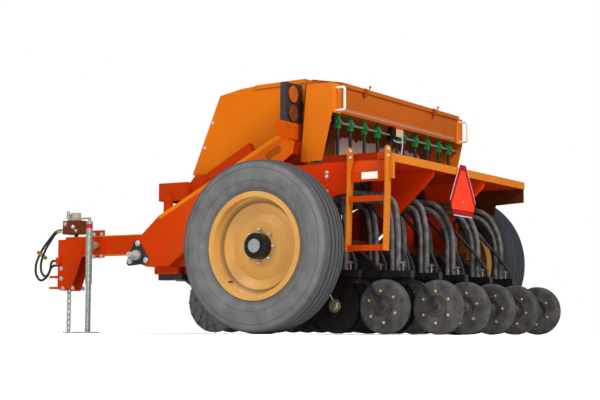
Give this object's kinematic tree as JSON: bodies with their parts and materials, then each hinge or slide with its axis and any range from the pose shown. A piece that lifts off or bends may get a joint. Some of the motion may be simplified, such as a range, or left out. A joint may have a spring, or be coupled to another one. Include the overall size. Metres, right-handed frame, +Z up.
{
  "type": "pull-type no-till seed drill",
  "caption": "End-wheel pull-type no-till seed drill with a seed hopper, a rear small-seeds box, fluted coulters, double-disc openers, press wheels, walkboard and jack.",
  "frame": {"origin": "centre of the bounding box's footprint, on the floor", "axes": "+X to the machine's left, -Y to its front (hitch), +Z up"},
  "size_m": [2.9202, 4.082, 1.6353],
  "materials": {
    "tyre": "matte rubber, dusty",
    "rim_tan": "gloss paint",
    "frame_red": "gloss orange-red paint",
    "box_orange": "gloss orange paint",
    "black_paint": "satin black paint",
    "bare_steel": "bare steel",
    "disc_steel": "rolled steel, oiled",
    "zinc": "zinc plated",
    "hose_rubber": "smooth black rubber",
    "grey_hose": "ribbed flexible plastic",
    "green_plastic": "moulded green plastic",
    "black_plastic": "moulded black plastic",
    "press_rubber": "grey rubber, dusty",
    "sign_face": "red-orange sheet with a dark red border",
    "white_paint": "white paint"
  },
  "bodies": {
    "frame": {"axles": "frame_red", "black_hoses": "hose_rubber", "box_supports": "frame_red", "coulter_arms": "black_paint", "coulter_clamps": "frame_red", "depth_handles": "zinc", "feed_cups": "black_plastic", "grab_handles": "white_paint", "grey_hoses": "grey_hose", "hitch_bracket": "frame_red", "hitch_hoses": "hose_rubber", "hopper": "box_orange", "ladder": "frame_red", "lamps": "black_plastic", "main_frame": "frame_red", "meter_drive": "black_paint", "meter_shaft": "zinc", "opener_discs": "disc_steel", "opener_frames": "black_paint", "press_arms": "black_paint", "rear_box": "box_orange", "rear_sign": "sign_face", "rock_shaft": "bare_steel", "safety_chain": "zinc", "seed_cups": "green_plastic", "side_frames": "frame_red", "tongue": "frame_red", "valve_block": "zinc", "walkboard": "box_orange", "walkboard_brackets": "frame_red"},
    "wheel_left": {"tyre_left": "tyre", "rim_left": "rim_tan"},
    "wheel_right": {"tyre_right": "tyre", "rim_right": "rim_tan"},
    "hopper_lid": {"hopper_lid": "box_orange"},
    "rear_lid": {"rear_lid": "box_orange"},
    "jack_tube": {"jack_tube": "zinc"},
    "jack_leg": {"jack_leg": "zinc"},
    "coulter_01": {"coulter_01": "disc_steel"},
    "press_wheel_01": {"press_wheel_01": "press_rubber"},
    "coulter_02": {"coulter_02": "disc_steel"},
    "press_wheel_02": {"press_wheel_02": "press_rubber"},
    "coulter_03": {"coulter_03": "disc_steel"},
    "press_wheel_03": {"press_wheel_03": "press_rubber"},
    "coulter_04": {"coulter_04": "disc_steel"},
    "press_wheel_04": {"press_wheel_04": "press_rubber"},
    "coulter_05": {"coulter_05": "disc_steel"},
    "press_wheel_05": {"press_wheel_05": "press_rubber"},
    "coulter_06": {"coulter_06": "disc_steel"},
    "press_wheel_06": {"press_wheel_06": "press_rubber"},
    "coulter_07": {"coulter_07": "disc_steel"},
    "press_wheel_07": {"press_wheel_07": "press_rubber"},
    "coulter_08": {"coulter_08": "disc_steel"},
    "press_wheel_08": {"press_wheel_08": "press_rubber"},
    "coulter_09": {"coulter_09": "disc_steel"},
    "press_wheel_09": {"press_wheel_09": "press_rubber"},
    "coulter_10": {"coulter_10": "disc_steel"},
    "press_wheel_10": {"press_wheel_10": "press_rubber"},
    "coulter_11": {"coulter_11": "disc_steel"},
    "press_wheel_11": {"press_wheel_11": "press_rubber"}
  },
  "joints": [
    {"name": "wheel_left_spin", "type": "hinge", "parent": "frame", "child": "wheel_left", "pos_m": [1.34, 0.976, 0.53], "axis": [1, 0, 0], "continuous": true},
    {"name": "wheel_right_spin", "type": "hinge", "parent": "frame", "child": "wheel_right", "pos_m": [-1.34, 0.976, 0.53], "axis": [1, 0, 0], "continuous": true},
    {"name": "coulter_01_spin", "type": "hinge", "parent": "frame", "child": "coulter_01", "pos_m": [-0.9525, 0.352, 0.213], "axis": [1, 0, 0], "continuous": true},
    {"name": "coulter_02_spin", "type": "hinge", "parent": "frame", "child": "coulter_02", "pos_m": [-0.762, 0.352, 0.213], "axis": [1, 0, 0], "continuous": true},
    {"name": "coulter_03_spin", "type": "hinge", "parent": "frame", "child": "coulter_03", "pos_m": [-0.5715, 0.352, 0.213], "axis": [1, 0, 0], "continuous": true},
    {"name": "coulter_04_spin", "type": "hinge", "parent": "frame", "child": "coulter_04", "pos_m": [-0.381, 0.352, 0.213], "axis": [1, 0, 0], "continuous": true},
    {"name": "coulter_05_spin", "type": "hinge", "parent": "frame", "child": "coulter_05", "pos_m": [-0.1905, 0.352, 0.213], "axis": [1, 0, 0], "continuous": true},
    {"name": "coulter_06_spin", "type": "hinge", "parent": "frame", "child": "coulter_06", "pos_m": [0, 0.352, 0.213], "axis": [1, 0, 0], "continuous": true},
    {"name": "coulter_07_spin", "type": "hinge", "parent": "frame", "child": "coulter_07", "pos_m": [0.1905, 0.352, 0.213], "axis": [1, 0, 0], "continuous": true},
    {"name": "coulter_08_spin", "type": "hinge", "parent": "frame", "child": "coulter_08", "pos_m": [0.381, 0.352, 0.213], "axis": [1, 0, 0], "continuous": true},
    {"name": "coulter_09_spin", "type": "hinge", "parent": "frame", "child": "coulter_09", "pos_m": [0.5715, 0.352, 0.213], "axis": [1, 0, 0], "continuous": true},
    {"name": "coulter_10_spin", "type": "hinge", "parent": "frame", "child": "coulter_10", "pos_m": [0.762, 0.352, 0.213], "axis": [1, 0, 0], "continuous": true},
    {"name": "coulter_11_spin", "type": "hinge", "parent": "frame", "child": "coulter_11", "pos_m": [0.9525, 0.352, 0.213], "axis": [1, 0, 0], "continuous": true},
    {"name": "press_wheel_01_spin", "type": "hinge", "parent": "frame", "child": "press_wheel_01", "pos_m": [-0.9525, 1.613, 0.169], "axis": [1, 0, 0], "continuous": true},
    {"name": "press_wheel_02_spin", "type": "hinge", "parent": "frame", "child": "press_wheel_02", "pos_m": [-0.762, 1.876, 0.169], "axis": [1, 0, 0], "continuous": true},
    {"name": "press_wheel_03_spin", "type": "hinge", "parent": "frame", "child": "press_wheel_03", "pos_m": [-0.5715, 1.613, 0.169], "axis": [1, 0, 0], "continuous": true},
    {"name": "press_wheel_04_spin", "type": "hinge", "parent": "frame", "child": "press_wheel_04", "pos_m": [-0.381, 1.876, 0.169], "axis": [1, 0, 0], "continuous": true},
    {"name": "press_wheel_05_spin", "type": "hinge", "parent": "frame", "child": "press_wheel_05", "pos_m": [-0.1905, 1.613, 0.169], "axis": [1, 0, 0], "continuous": true},
    {"name": "press_wheel_06_spin", "type": "hinge", "parent": "frame", "child": "press_wheel_06", "pos_m": [0, 1.876, 0.169], "axis": [1, 0, 0], "continuous": true},
    {"name": "press_wheel_07_spin", "type": "hinge", "parent": "frame", "child": "press_wheel_07", "pos_m": [0.1905, 1.613, 0.169], "axis": [1, 0, 0], "continuous": true},
    {"name": "press_wheel_08_spin", "type": "hinge", "parent": "frame", "child": "press_wheel_08", "pos_m": [0.381, 1.876, 0.169], "axis": [1, 0, 0], "continuous": true},
    {"name": "press_wheel_09_spin", "type": "hinge", "parent": "frame", "child": "press_wheel_09", "pos_m": [0.5715, 1.613, 0.169], "axis": [1, 0, 0], "continuous": true},
    {"name": "press_wheel_10_spin", "type": "hinge", "parent": "frame", "child": "press_wheel_10", "pos_m": [0.762, 1.876, 0.169], "axis": [1, 0, 0], "continuous": true},
    {"name": "press_wheel_11_spin", "type": "hinge", "parent": "frame", "child": "press_wheel_11", "pos_m": [0.9525, 1.613, 0.169], "axis": [1, 0, 0], "continuous": true},
    {"name": "hopper_lid_hinge", "type": "hinge", "parent": "frame", "child": "hopper_lid", "pos_m": [0, 0.584, 1.623], "axis": [1, 0, 0], "range_deg": [0, 100]},
    {"name": "rear_lid_hinge", "type": "hinge", "parent": "frame", "child": "rear_lid", "pos_m": [0, 1.02, 1.6279], "axis": [1, 0, 0], "range_deg": [0, 100]},
    {"name": "jack_swivel", "type": "hinge", "parent": "frame", "child": "jack_tube", "pos_m": [0.165, -1.389, 0.669], "axis": [1, 0, 0], "range_deg": [0, 90]},
    {"name": "jack_leg_slide", "type": "slide", "parent": "jack_tube", "child": "jack_leg", "axis": [0, 0, 1], "range_m": [0, 0.35]}
  ]
}
